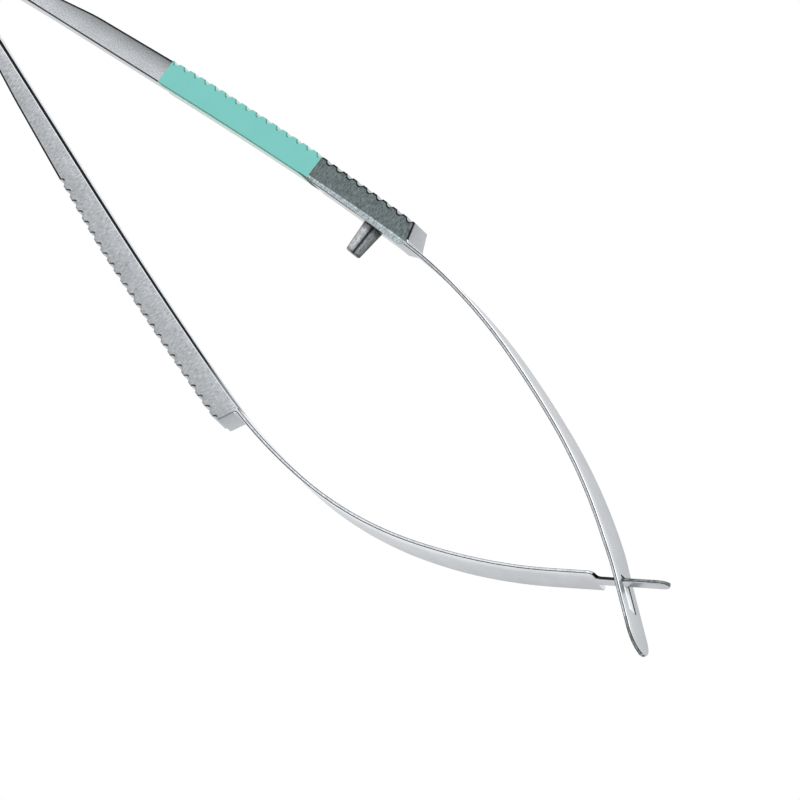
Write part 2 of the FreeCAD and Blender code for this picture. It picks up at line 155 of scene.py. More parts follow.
# %% Thickness of the handle and the arm
REAR_LEAF = 0.7
UPPER_BAR = [(REAR_BEND_END, REAR_LEAF), (28.0, 1.95), (41.0, 2.2), (57.0, 2.2), (68.35, 2.02)]
LOWER_BAR = [(REAR_BEND_END, REAR_LEAF), (28.0, 1.5), (46.0, 2.15), (67.95, 2.15)]
END_LEAN = 0.6
LAST_GROOVE = 67.82
GROOVE_PITCH = 1.2925
GROOVES = 24
GROOVE_DEPTH = 0.25
GROOVE_MOUTH = 0.78
GROOVE_RADIUS = (GROOVE_MOUTH ** 2 / 4 + GROOVE_DEPTH ** 2) / (2 * GROOVE_DEPTH)
ROOT_FILLET = 0.6
groove_stations = [LAST_GROOVE - i * GROOVE_PITCH for i in range(GROOVES)]


def bar_thickness(bar, station):
    """The bar without its grooves, from a list of (station, thickness)."""
    return float(np.interp(station, [where for where, _ in bar], [thick for _, thick in bar]))


def end_step(bar, station):
    """The leaning front end of the bar and the round foot that leads into the arm."""
    arm_root = bar[-1][0] + END_LEAN
    lean = math.atan2(bar[-1][1] - LEAF, END_LEAN)
    tangent = ROOT_FILLET * math.tan(lean / 2)
    foot = arm_root + tangent
    rise_start = arm_root - tangent * math.cos(lean)
    if station >= foot:
        return LEAF
    if station > rise_start:
        return LEAF + ROOT_FILLET - math.sqrt(max(0.0, ROOT_FILLET ** 2 - (foot - station) ** 2))
    return LEAF + (arm_root - station) * math.tan(lean)


def thickness_of(bar, sleeve=0.0):
    """A function from a station to the thickness there, or to that of a thin sleeve round the bar."""
    radius = GROOVE_RADIUS - sleeve

    def thick(station):
        value = bar_thickness(bar, station) + sleeve
        for middle in groove_stations:
            reach = station - middle
            if abs(reach) < radius:
                bottom = bar_thickness(bar, middle) + GROOVE_RADIUS - GROOVE_DEPTH
                value = min(value, bottom - math.sqrt(radius ** 2 - reach ** 2))
        if station > bar[-1][0]:
            value = min(value, end_step(bar, station))
        return value
    return thick


upper_thickness = thickness_of(UPPER_BAR)
lower_thickness = thickness_of(LOWER_BAR)
HEEL = [(56.57, 0.0), (57.17, 0.13), (68.35, 0.33), (68.95, 0.0)]  # (station, how far it stands proud)


def upper_inset(station):
    """How far the upper bar's inner face stands proud of the path: the heel ahead of the colour band."""
    return bar_thickness(HEEL, station)


def always(value):
    """A function that gives the same value at every station."""
    return lambda station: value


print("thickness at the band %.2f, at the grip %.2f, on the arm %.2f" % (
    upper_thickness(40.2), upper_thickness(68.15), upper_thickness(80)))

# %% [markdown]
# ## Width along a half
# The width is measured both ways from the middle plane. The near side and the far side are the same, except
# at the lower arm's neck, whose two shoulders differ. A shoulder is a nearly upright step of the width, so
# its two stations lie very close together.

# %% Widths of the handle and the arm
WIDE = 3.9 / 2
NARROW = 2.5 / 2
BLADE = 3.3 / 2
NECK = 1.12 / 2
TONGUE = 1.15 / 2
TAB_CORNER = 1.2
REAR_FLARE_START, REAR_FLARE_END = 15.5, 23.5
ROOT_FLARE = 7.0
UPPER_NARROWING, LOWER_NARROWING = 3.3, 11.0
UPPER_TIP_ROUND, LOWER_TIP_ROUND = 2.0, 0.9
TONGUE_START, TONGUE_FULL = 1.2, 1.4  # ahead of the crossing
SHOULDER_ROUND = 0.5
NEAR_FILLET, FAR_FILLET = 0.3, 0.15


def ease(station, start, end, a, b):
    """From a to b between two stations, with soft ends."""
    share = min(1.0, max(0.0, (station - start) / (end - start)))
    soft = share * share * (3 - 2 * share)
    return a + (b - a) * (0.5 * share + 0.5 * soft)


def handle_width(station, arm_root):
    if station < TAB_CORNER:
        return WIDE - TAB_CORNER + math.sqrt(max(0.0, TAB_CORNER ** 2 - (TAB_CORNER - station) ** 2))
    if station < BOW_START:
        return ease(station, REAR_FLARE_START, REAR_FLARE_END, WIDE, NARROW)
    return ease(station, arm_root, arm_root + ROOT_FLARE, NARROW, WIDE)


def tip_width(station, start, length, half):
    share = min(1.0, (station - start) / length)
    return half * math.sqrt(max(0.0, 1 - share * share))


UPPER_ROOT = UPPER_BAR[-1][0] + END_LEAN
LOWER_ROOT = LOWER_BAR[-1][0] + END_LEAN
UPPER_TIP = UPPER_CROSSING + 7.4
LOWER_TIP = LOWER_CROSSING + 4.5
NEAR_SHOULDER = LOWER_CROSSING - 2.2
FAR_SHOULDER = LOWER_CROSSING - 2.6


def upper_width(station):
    if station < UPPER_CURVE_END:
        return min(handle_width(station, UPPER_ROOT),
                   ease(station, UPPER_CURVE_END - UPPER_NARROWING, UPPER_CURVE_END, WIDE, BLADE))
    if station < UPPER_TIP - UPPER_TIP_ROUND:
        return BLADE
    return tip_width(station, UPPER_TIP - UPPER_TIP_ROUND, UPPER_TIP_ROUND, BLADE)


def neck_width(station):
    if station > LOWER_TIP - LOWER_TIP_ROUND:
        return tip_width(station, LOWER_TIP - LOWER_TIP_ROUND, LOWER_TIP_ROUND, TONGUE)
    return ease(station, LOWER_CROSSING + TONGUE_START, LOWER_CROSSING + TONGUE_FULL, NECK, TONGUE)


def neck_foot(station, shoulder_end, fillet):
    """The round inner corner between a shoulder and the neck."""
    return NECK + fillet - math.sqrt(max(0.0, fillet ** 2 - (shoulder_end + fillet - station) ** 2))


def lower_near_width(station):
    if station < LOWER_CURVE_END:
        return min(handle_width(station, LOWER_ROOT),
                   ease(station, LOWER_CURVE_END - LOWER_NARROWING, LOWER_CURVE_END, WIDE, BLADE))
    if station <= NEAR_SHOULDER:
        reach = max(0.0, station - (NEAR_SHOULDER - SHOULDER_ROUND))
        return BLADE - SHOULDER_ROUND + math.sqrt(max(0.0, SHOULDER_ROUND ** 2 - reach ** 2))
    if station < NEAR_SHOULDER + NEAR_FILLET:
        return neck_foot(station, NEAR_SHOULDER, NEAR_FILLET)
    return neck_width(station)


def lower_far_width(station):
    if station <= FAR_SHOULDER:
        return min(lower_near_width(station), BLADE) if station > LOWER_CURVE_END else lower_near_width(station)
    if station < FAR_SHOULDER + FAR_FILLET:
        return neck_foot(station, FAR_SHOULDER, FAR_FILLET)
    return neck_width(station)


print("half widths: bar %.2f, arm %.2f, neck %.2f" % (
    upper_width(50), upper_width(90), lower_near_width(LOWER_CROSSING)))

# %% [markdown]
# ## One smooth mesh for each half
# A half could be modelled as a box and cut, or swept along a curve. A sweep made from rings of points keeps
# full control: each ring is the cross-section at one station, with small bevels on its four corners that
# catch the light as real deburred edges do. Each point also remembers its station, its depth in the
# thickness and its height, as an attribute called trail. The finishes use it later to follow the metal.

# %% The points of one ring
# The rim is a thin strip of the near edge beside its outer bevel, which the finishes paint with a shade outline.
RIM_WIDTH = 0.1
ROUND_CORNER = 0.29  # where a quarter circle's middle lies, as a share of its radius


def ring(thick, near, far, bevel, rail):
    """Cross-section points (depth, height), starting on the inner face at the far side. Thin places get less bevel."""
    b = min(bevel, thick * 0.4, near * 0.6, far * 0.6)
    c = b * ROUND_CORNER
    rim = min(RIM_WIDTH, thick * 0.22)
    near_rail = min(rail, near * 0.8)
    far_rail = min(rail, far * 0.8)
    return [
        (0, -far + b), (0, -far_rail), (0, near_rail), (0, near - b),
        (c, near - c), (b, near), (thick - b - rim, near), (thick - b, near), (thick - c, near - c),
        (thick, near - b), (thick, near_rail), (thick, -far_rail), (thick, -far + b),
        (thick - c, -far + c), (thick - b, -far), (b, -far), (c, -far + c)]


INNER_LOW, INNER, INNER_HIGH, INNER_BEVEL = "inner low", "inner", "inner high", "inner bevel"
NEAR_EDGE, RIM, BEVEL, OUTER, FAR_EDGE, SLOT_WALL = "near edge", "rim", "bevel", "outer", "far edge", "slot wall"
SEGMENTS = [INNER_LOW, INNER, INNER_HIGH, INNER_BEVEL, INNER_BEVEL, NEAR_EDGE, RIM, BEVEL, BEVEL,
            OUTER, OUTER, OUTER, BEVEL, BEVEL, FAR_EDGE, BEVEL, BEVEL]
FLAT = (NEAR_EDGE, RIM, FAR_EDGE, SLOT_WALL)
INNER_FAR, INNER_NEAR, OUTER_NEAR, OUTER_FAR = 1, 2, 10, 11  # the ring's points on the rims of a slot


def place(path, side, station, depth, height):
    x, y, heading = path(station)
    x -= math.sin(heading) * depth
    y += math.cos(heading) * depth
    return ((x + ORIGIN_SHIFT[0]) * MM, (side * y + ORIGIN_SHIFT[1]) * MM, (height + ORIGIN_SHIFT[2]) * MM)


print("points in a ring:", len(ring(1.0, 1.0, 1.0, 0.06, 0.65)))

# %% [markdown]
# ## From rings to a piece
# Neighbouring rings are joined by faces, and each face asks for its finish by its station and its place round
# the ring. Where the slot goes through, the faces between two rails are left out and walls are put in. Edges
# that turn by more than a few degrees are marked sharp, so that a thin bevel doesn't tint the flat beside it.

# %% Build a closed piece from rings
SHARP_TURN = math.radians(20)


def trailed_piece(name, points, faces, memory):
    """An object in the scene whose points carry their trail."""
    mesh = bpy.data.meshes.new(name)
    mesh.from_pydata(points, [], faces)
    trail = mesh.attributes.new("trail", "FLOAT_VECTOR", "POINT")
    trail.data.foreach_set("vector", np.array(memory, np.float32).ravel())
    piece = bpy.data.objects.new(name, mesh)
    bpy.context.scene.collection.objects.link(piece)
    return piece


def foot_reach(station, bar_end, reach):
    """How far the far side of a ring is pushed ahead: all of reach at the end step, nothing a few mm on."""
    rise = ease(station, bar_end, bar_end + END_LEAN, 0, 1)
    fall = ease(station, bar_end + 1.2, bar_end + 3.5, 0, 1)
    return reach * (rise - fall)


def forge(name, path, side, stations, thick, near, far, bevel, finish_of, slot=None, inset=always(0.0), rail=0.65,
          foot=None):
    """A closed mesh from rings. slot is (first, last, half height) of a hole through the blade.

    foot is (end of the bar, reach): the far side of the bar's end step stands that much further forward."""
    points, memory, faces, finishes, smooth = [], [], [], [], []
    size = len(SEGMENTS)
    rail = slot[2] if slot else rail
    for station in stations:
        base = inset(station)
        for depth, height in ring(thick(station) + base, near(station), far(station), bevel, rail):
            ahead = 0.0
            if foot:
                ahead = foot_reach(station, *foot) * (near(station) - height) / (near(station) + far(station))
            points.append(place(path, side, station + ahead, depth - base, height))
            memory.append((station, depth - base, height))

    def add(corners, station, segment):
        faces.append(corners if side > 0 else corners[::-1])
        finishes.append(finish_of(station, segment))
        smooth.append(segment not in FLAT)

    for row in range(len(stations) - 1):
        middle = (stations[row] + stations[row + 1]) / 2
        a = row * size
        b = a + size
        open_here = slot and slot[0] < middle < slot[1]
        for k in range(size):
            if open_here and k in (INNER_FAR, OUTER_NEAR):
                continue
            n = (k + 1) % size
            add((a + k, a + n, b + n, b + k), middle, SEGMENTS[k])
        if open_here:
            add((a + INNER_FAR, b + INNER_FAR, b + OUTER_FAR, a + OUTER_FAR), middle, SLOT_WALL)
            add((a + INNER_NEAR, a + OUTER_NEAR, b + OUTER_NEAR, b + INNER_NEAR), middle, SLOT_WALL)
    if slot:
        first = min(range(len(stations)), key=lambda i: abs(stations[i] - slot[0])) * size
        last = min(range(len(stations)), key=lambda i: abs(stations[i] - slot[1])) * size
        around = (INNER_FAR, OUTER_FAR, OUTER_NEAR, INNER_NEAR)
        add(tuple(first + k for k in around), slot[0], SLOT_WALL)
        add((last + INNER_FAR, last + INNER_NEAR, last + OUTER_NEAR, last + OUTER_FAR), slot[1], SLOT_WALL)
    end = (len(stations) - 1) * size
    add(tuple(reversed(range(size))), stations[0], OUTER)
    add(tuple(range(end, end + size)), stations[-1], OUTER)

    piece = trailed_piece(name, points, faces, memory)
    mesh = piece.data
    order = {finish: i for i, finish in enumerate(dict.fromkeys(finishes))}
    for finish in order:
        mesh.materials.append(finish)
    mesh.polygons.foreach_set("material_index", [order[f] for f in finishes])
    mesh.set_sharp_from_angle(angle=SHARP_TURN)
    mesh.polygons.foreach_set("use_smooth", smooth)
    mesh.validate()
    print(name, "faces", len(faces))
    return piece


print("sharp edges turn by more than %.0f degrees" % math.degrees(SHARP_TURN))

# %% [markdown]
# ## Marks of the grinding belt
# Brushed steel isn't one grey. The belt leaves fine lines, all in one direction, over slow uneven patches.
# The lines could be an image, but noise stretched along one axis gives the same look at any size. It is a
# node group with its own inputs, because every finish here uses it with other values.

# %% The shared group of belt marks
NOISE_LOW, NOISE_HIGH = 0.28, 0.72  # nearly all of a noise's values lie between these


def link(tree, a, b):
    tree.links.new(a, b)


def make_belt_marks():
    group = bpy.data.node_groups.new("Belt marks", "ShaderNodeTree")
    face = group.interface
    for label, value in (("Along", 14.0), ("Across", 2.0), ("Height", 2.0), ("Patch size", 0.5)):
        face.new_socket(label, in_out="INPUT", socket_type="NodeSocketFloat").default_value = value
    for label in ("Marks", "Patches"):
        face.new_socket(label, in_out="OUTPUT", socket_type="NodeSocketFloat")
    nodes = group.nodes
    given = nodes.new("NodeGroupInput")
    result = nodes.new("NodeGroupOutput")
    trail = nodes.new("ShaderNodeAttribute")
    trail.attribute_name = "trail"
    stretch = nodes.new("ShaderNodeCombineXYZ")
    for index, label in enumerate(("Along", "Across", "Height")):
        link(group, given.outputs[label], stretch.inputs[index])
    scaled = nodes.new("ShaderNodeVectorMath")
    scaled.operation = "MULTIPLY"
    link(group, trail.outputs["Vector"], scaled.inputs[0])
    link(group, stretch.outputs[0], scaled.inputs[1])
    lines = nodes.new("ShaderNodeTexNoise")
    lines.inputs["Scale"].default_value = 1.0
    lines.inputs["Detail"].default_value = 3.0
    lines.inputs["Roughness"].default_value = 0.7
    link(group, scaled.outputs[0], lines.inputs["Vector"])
    patches = nodes.new("ShaderNodeTexNoise")
    patches.inputs["Detail"].default_value = 2.0
    link(group, trail.outputs["Vector"], patches.inputs["Vector"])
    link(group, given.outputs["Patch size"], patches.inputs["Scale"])
    for source, label in ((lines, "Marks"), (patches, "Patches")):
        spread = nodes.new("ShaderNodeMapRange")
        spread.inputs["From Min"].default_value = NOISE_LOW
        spread.inputs["From Max"].default_value = NOISE_HIGH
        link(group, source.outputs["Fac"], spread.inputs["Value"])
        link(group, spread.outputs[0], result.inputs[label])
    return group


belt_marks = make_belt_marks()
print("group made:", belt_marks.name)

# %% [markdown]
# ## Steel finishes
# Every steel surface is the same Principled shader with its own tone, marks and roughness. The tone is one
# grey, or a ramp along one of the three trail axes, for a ground strip or for painted reflection and shade. The
# belt marks then make it a little lighter or darker. Steel in a white studio shows mostly the room, so the base
# colour is set close to what the eye sees, with the room's reflections and shade painted into it.

# %% Tones, ramps and wear
STATION, DEPTH, HEIGHT = 0, 1, 2


def grey(value, red=1.0):
    """A cool steel grey from its value on screen, 0 to 255. A red below 1 makes it greener."""
    share = value / 255
    linear = share / 12.92 if share <= 0.04045 else ((share + 0.055) / 1.055) ** 2.4
    pale = min(1.0, max(0.0, (value - 110) / 70))
    return (linear * red * (0.91 + 0.055 * pale), linear, linear * (1.01 + 0.035 * pale), 1)


def trail_ramp(tree, axis, stops):
    """A colour that follows one axis of the trail, from a list of (millimetres, colour)."""
    trail = tree.nodes.new("ShaderNodeAttribute")
    trail.attribute_name = "trail"
    parts = tree.nodes.new("ShaderNodeSeparateXYZ")
    link(tree, trail.outputs["Vector"], parts.inputs[0])
    low, high = stops[0][0], stops[-1][0]
    fit = tree.nodes.new("ShaderNodeMapRange")
    fit.inputs["From Min"].default_value = low
    fit.inputs["From Max"].default_value = high
    link(tree, parts.outputs[axis], fit.inputs["Value"])
    ramp = tree.nodes.new("ShaderNodeValToRGB")
    elements = ramp.color_ramp.elements
    while len(elements) < len(stops):
        elements.new(0.5)
    for element, (place_mm, colour) in zip(elements, stops):
        element.position = (place_mm - low) / (high - low)
        element.color = colour
    link(tree, fit.outputs[0], ramp.inputs["Fac"])
    return ramp.outputs["Color"]


def blend_colours(tree, mode, a, b):
    mix = tree.nodes.new("ShaderNodeMix")
    mix.data_type = "RGBA"
    mix.blend_type = mode
    mix.inputs["Factor"].default_value = 1.0
    for source, target_input in ((a, mix.inputs[6]), (b, mix.inputs[7])):
        if isinstance(source, tuple):
            target_input.default_value = source
        else:
            link(tree, source, target_input)
    return mix.outputs[2]


def wear(tree, belt, contrast, patches):
    """A grey near 1 that carries the belt marks and the slow patches."""
    total = tree.nodes.new("ShaderNodeMath")
    total.operation = "MULTIPLY_ADD"
    total.inputs[1].default_value = 2 * contrast
    total.inputs[2].default_value = 1 - contrast - patches
    link(tree, belt.outputs["Marks"], total.inputs[0])
    slow = tree.nodes.new("ShaderNodeMath")
    slow.operation = "MULTIPLY_ADD"
    slow.inputs[1].default_value = 2 * patches
    link(tree, belt.outputs["Patches"], slow.inputs[0])
    link(tree, total.outputs[0], slow.inputs[2])
    return slow.outputs[0]


def use_belt(tree, marks):
    belt = tree.nodes.new("ShaderNodeGroup")
    belt.node_tree = belt_marks
    for label, value in zip(("Along", "Across", "Height"), marks):
        belt.inputs[label].default_value = value
    return belt


print("grey 180 is", ["%.2f" % value for value in grey(180)])

# %% [markdown]
# ## One function for a finish
# The same belt marks drive three things at once: they tint the colour, they vary the roughness a little and
# they raise the surface by a hundredth of a millimetre. When one pattern drives all three, the eye reads it
# as real scratches. At a flat angle every metal turns white, and the edge value can hold that back.

# %% A function for one finish
ROUGHNESS_SPREAD = 0.06
SCRATCH_HEIGHT = 0.01 * MM


def finish(name, tone, shade=None, marks=(14.0, 2.0, 2.0), contrast=0.16, patches=0.05, roughness=0.4, bump=0.1,
           metal=1.0, edge=1.0, red=1.0):
    """tone is a grey, a colour or (axis, [(mm, grey), ...]). shade multiplies it along another axis.

    edge is how bright the metal turns where it is seen at a very flat angle."""
    material = bpy.data.materials.new(name)
    material.use_nodes = True
    tree = material.node_tree
    shader = tree.nodes["Principled BSDF"]
    shader.inputs["Metallic"].default_value = metal
    shader.inputs["Specular Tint"].default_value = (edge, edge, edge, 1)
    belt = use_belt(tree, marks)
    if isinstance(tone, (int, float)):
        colour = grey(tone, red)
    elif len(tone) == 2:
        colour = trail_ramp(tree, tone[0], [(place_mm, grey(value, red)) for place_mm, value in tone[1]])
    else:
        colour = tone
    if shade:
        factors = trail_ramp(tree, shade[0], [(place_mm, (f, f, f, 1)) for place_mm, f in shade[1]])
        colour = blend_colours(tree, "MULTIPLY", colour, factors)
    colour = blend_colours(tree, "MULTIPLY", colour, wear(tree, belt, contrast, patches))
    link(tree, colour, shader.inputs["Base Color"])
    rough = tree.nodes.new("ShaderNodeMapRange")
    rough.inputs["To Min"].default_value = roughness - ROUGHNESS_SPREAD
    rough.inputs["To Max"].default_value = roughness + ROUGHNESS_SPREAD
    link(tree, belt.outputs["Marks"], rough.inputs["Value"])
    link(tree, rough.outputs[0], shader.inputs["Roughness"])
    raised = tree.nodes.new("ShaderNodeBump")
    raised.inputs["Strength"].default_value = bump
    raised.inputs["Distance"].default_value = SCRATCH_HEIGHT
    link(tree, belt.outputs["Marks"], raised.inputs["Height"])
    link(tree, raised.outputs[0], shader.inputs["Normal"])
    return material


# %% [markdown]
# ## The steel of each surface
# The flanks carry a painted reflection that darkens towards the grip, the leaves a painted highlight towards
# their near edge, and the thin outlines painted shade. The marks are wide where the belt ran along the metal
# and fine where it was only blasted.

# %% Make the steel finishes
GRAIN = (10.0, 8.0, 8.0)
BRUSHED = (13.0, 2.5, 2.5)
# Painted reflection: the rear and lower flanks darken away from the inner face, and the front flank is dark all over.
# The front flank's ground strip carries a painted highlight line at 0.16 mm.
rear_flank = finish("Rear flank", (DEPTH, [(0.0, 188), (0.24, 184), (0.8, 178), (1.1, 168), (1.5, 152), (1.8, 134),
                                           (2.02, 104), (2.12, 80)]), marks=GRAIN, contrast=0.45)
front_flank = finish("Front flank", (DEPTH, [(-0.35, 172), (0.1, 168), (0.16, 188), (0.22, 180), (0.28, 110),
                                             (2.2, 107)]), marks=(12.0, 3.0, 3.0), contrast=0.75, red=0.91)
lower_flank = finish("Lower flank", (DEPTH, [(0.0, 184), (0.4, 177), (1.1, 168), (2.2, 165)]), marks=BRUSHED,
                     contrast=0.48)
pale_inner = finish("Pale inner face", 196, contrast=0.05, roughness=0.3)
# Painted dark reflection on the inner faces: along the upper handle's inner edge, and over the lower handle's inner
# face until it turns pale near station 64. The heel line is painted shade that fades along the heel.
dark_line = finish("Dark inner line", 84, contrast=0.25, edge=0.25)
heel_line = finish("Heel line", (STATION, [(56, 60), (62, 96), (64, 170), (70, 180)]), contrast=0.2, edge=0.6)
dark_inner = finish("Dark inner face", (STATION, [(20, 84), (59, 84), (62, 100), (64.5, 225), (66, 240)]), contrast=0.1,
                    edge=0.0)
# Painted reflection of the white room: these inner faces and the lower arm's far shoulder are near white, and the lower
# handle's inner corner is a painted highlight line.
bright_inner = finish("Bright inner face", 226, contrast=0.03, roughness=0.3)
root_inner = finish("Arm root inner face", (STATION, [(69, 244), (78, 240), (88, 208), (100, 198)]), contrast=0.05,
                    roughness=0.3)
bright_corner = finish("Bright corner", 196, contrast=0.05)
grip = finish("Grip", 196, marks=(3.0, 3.0, 9.0), contrast=0.14)
# The end facets turn darker towards the top and carry a painted shade line along their top edge, dark on the upper half
# and soft on the lower.
END_TONES = [(-1.25, 196), (0.4, 186), (1.0, 178)]
upper_end_face = finish("Upper end face", (HEIGHT, END_TONES + [(1.07, 50), (1.25, 36)]), marks=GRAIN, contrast=0.12)
lower_end_face = finish("Lower end face", (HEIGHT, END_TONES + [(1.14, 140), (1.25, 120)]), marks=GRAIN, contrast=0.12)
# Painted shade: dark lines along edges and steps, the shadow ahead of the heel and at the pin's foot. The soft outline
# is a lighter painted shade line on the lower grip's rim.
painted_shade_steel = finish("Painted shade outline", 44, marks=(4.0, 2.0, 2.0), contrast=0.4, edge=0.3)
soft_outline = finish("Soft outline", 150, marks=(4.0, 2.0, 2.0), contrast=0.25)
# Painted highlight: the leaf faces turn lighter towards their near edge and towards the arm roots.
leaf_face = finish("Leaf face", (HEIGHT, [(-1.95, 184), (-0.6, 192), (1.0, 202), (1.6, 224), (1.95, 234)]),
                   shade=(STATION, [(68, 1.12), (84, 1.05), (100, 0.97)]), marks=(1.2, 5.0, 5.0), contrast=0.07,
                   roughness=0.32)
leaf_edge = finish("Leaf edge", 180, marks=(6.0, 3.0, 3.0), contrast=0.3)
# A lighter copy of the leaf edge: painted sheen on the lower arm's near edge.
pale_edge = finish("Pale leaf edge", 208, marks=(6.0, 3.0, 3.0), contrast=0.3)
# Painted shade line between a leaf's edge and its faces.
leaf_line = finish("Leaf edge line", 58, marks=(3.0, 2.0, 2.0), contrast=0.6, edge=0.4)
pitted_edge = finish("Pitted edge", 126, marks=(3.0, 6.0, 6.0), contrast=1.0, edge=0.5)
# Painted shade line where a lower groove's rear wall meets the flank.
hook_line = finish("Groove line", 74, marks=(4.0, 2.0, 2.0), contrast=0.5, edge=0.5)
# Painted light in the slot: its walls are near white for most of their depth, with painted shade near the outer face.
slot_wall = finish("Slot wall", (DEPTH, [(0.0, 246), (0.23, 240), (0.27, 50), (0.35, 34)]), contrast=0.1, edge=0.4)
print("steel finishes:", len(bpy.data.materials))

# %% [markdown]
# ## The two halves
# The rings stand close together where the shape changes fast, such as in the grooves and on the rounded
# tips, and far apart where the metal is plain. Between the grooves a few are enough, but the arms need
# one every half millimetre, because they bend in use.

# %% Stations for the rings
GROOVE_SHARES = (-1.03, -1, -0.92, -0.8, -0.6, -0.35, 0, 0.35, 0.6, 0.8, 0.92, 1, 1.03)
STEP_OFFSETS = (-0.02, 0, 0.01, 0.05, 0.1, 0.15, 0.2)
FOOT_SHARES = (-0.3, -0.25, -0.2, -0.1, 0, 0.1, 0.2, 0.35, 0.5, 0.65, 0.8, 0.95)
CLOSEST = 0.0015  # rings nearer than this are one ring


def spaced(first, last, step):
    count = max(1, round((last - first) / step))
    return [first + (last - first) * i / count for i in range(count)]


def grip_stations():
    marks = []
    for middle in groove_stations:
        half = GROOVE_MOUTH / 2
        marks += [middle + half * x for x in GROOVE_SHARES]
    return marks


def tip_stations(tip, length):
    return [tip - length * (1 - math.sin(math.radians(a))) for a in (0, 12, 24, 36, 48, 58, 67, 74, 80, 85, 88)]


def tidy(stations):
    """Sorted, without doubles."""
    kept = []
    for station in sorted(stations):
        if not kept or station - kept[-1] > CLOSEST:
            kept.append(station)
    return kept


def end_step_stations(bar):
    end, root = bar[-1][0], bar[-1][0] + END_LEAN
    return [end + x for x in STEP_OFFSETS] + [root + ROOT_FILLET * x for x in FOOT_SHARES]


TAB_END = [TAB_CORNER * (1 - math.cos(math.radians(a))) for a in (0, 12, 24, 36, 48, 60, 75, 90)]
BODY = spaced(TAB_CORNER, 38.0, 0.8) + grip_stations()
NECK_FOOTPRINT = LEAF / 2 * (1 / math.sin(CROSSING_ANGLE) + 1 / math.tan(CROSSING_ANGLE))
SLOT_END_GAP, SLOT_SIDE_GAP = 0.14, 0.075
SLOT_REAR = UPPER_CROSSING - NECK_FOOTPRINT - SLOT_END_GAP
SLOT_FRONT = UPPER_CROSSING + 3.15
SLOT_HALF = TONGUE + SLOT_SIDE_GAP
upper_stations = tidy(TAB_END + BODY + end_step_stations(UPPER_BAR) + [where for where, _ in HEEL]
                      + spaced(UPPER_ROOT + ROOT_FILLET, UPPER_CURVE_END, 0.45)
                      + spaced(UPPER_CURVE_END, SLOT_REAR, 0.3) + spaced(SLOT_REAR, SLOT_FRONT, 0.5)
                      + spaced(SLOT_FRONT, UPPER_TIP - UPPER_TIP_ROUND, 0.5)
                      + tip_stations(UPPER_TIP, UPPER_TIP_ROUND))
shoulder = []
for corner, small, big in ((NEAR_SHOULDER, NEAR_FILLET, SHOULDER_ROUND), (FAR_SHOULDER, FAR_FILLET, 0.1)):
    shoulder += [corner - big + big * math.sin(math.radians(a)) for a in range(0, 91, 15)]
    shoulder += [corner + 0.002 + small * (1 - math.cos(math.radians(a))) for a in range(0, 91, 15)]
lower_stations = tidy(BODY + end_step_stations(LOWER_BAR)
                      + spaced(LOWER_ROOT + ROOT_FILLET, LOWER_CURVE_END, 0.45)
                      + spaced(LOWER_CURVE_END, LOWER_TIP - LOWER_TIP_ROUND, 0.4)
                      + shoulder + tip_stations(LOWER_TIP, LOWER_TIP_ROUND))
print("rings:", len(upper_stations), "and", len(lower_stations))

# %% [markdown]
# ## Which face gets which finish
# A face could be picked by hand in the viewport, but a rule is surer: each one knows its station and the
# name of its strip round the ring. The two arms share one rule, and each handle adds its own.

# %% Choose a finish for each face
# The last of these lengths is how far the painted shadow at the band's end reaches along its inner face.
BAND_START, BAND_END, BAND_WALL, BAND_SHADOW_LENGTH = 37.62, 56.47, 0.06, 1.05
HEEL_SHADOW_END = BAND_END + 0.65
FLANK_CHANGE = 50  # under the band, where nobody sees it
GRIP_START = groove_stations[-1] - 0.6
PITTED_TIP = UPPER_TIP - 3.0


def in_groove_rear(station):
    """True on the half of a groove whose wall faces the front, where a painted shade line marks its meeting with the
    flank.
    """
    nearest = min(groove_stations, key=lambda middle: abs(station - middle))
    return -1.1 < (station - nearest) / (GROOVE_MOUTH / 2) < -0.1


def arm_finish(station, segment, pitted_from):
    """The thin arm: faces with a painted highlight and dull edges between two painted shade lines."""
    if segment in (NEAR_EDGE, FAR_EDGE):
        return pitted_edge if station > pitted_from else leaf_edge
    if segment in (RIM, INNER_BEVEL):
        return leaf_line
    return slot_wall if segment == SLOT_WALL else leaf_face


# Painted light on the upper handle: a painted dark reflection along the inner edge, a painted shadow on the inner face
# just ahead of the band, a painted shade line along the heel and painted shade outlines round the grooves.
def upper_finish(station, segment):
    if station > UPPER_ROOT:
        return arm_finish(station, segment, PITTED_TIP)
    if segment in (NEAR_EDGE, FAR_EDGE):
        return rear_flank if station < FLANK_CHANGE else front_flank
    if segment in (INNER, INNER_LOW):
        return painted_shade_steel if BAND_END < station < HEEL_SHADOW_END else pale_inner
    if segment in (INNER_HIGH, INNER_BEVEL):
        if station < HEEL_SHADOW_END:
            return dark_line
        return heel_line if segment == INNER_BEVEL else pale_inner
    if segment in (OUTER, BEVEL) and station > UPPER_BAR[-1][0]:
        return upper_end_face
    return grip if segment == OUTER else painted_shade_steel


def lower_arm_finish(station, segment):
    """The lower arm has inner faces painted near white as a reflection, painted shade on its near shoulder and a
    painted white far shoulder.
    """
    if segment in (NEAR_EDGE, RIM) and NEAR_SHOULDER - 0.1 < station < LOWER_CROSSING:
        return painted_shade_steel
    if segment in (FAR_EDGE, BEVEL) and FAR_SHOULDER < station < FAR_SHOULDER + 0.16:
        return bright_inner
    if segment in (INNER, INNER_LOW, INNER_HIGH):
        return root_inner
    if segment == NEAR_EDGE and station < LOWER_CROSSING:
        return pale_edge
    return arm_finish(station, segment, LOWER_CROSSING)


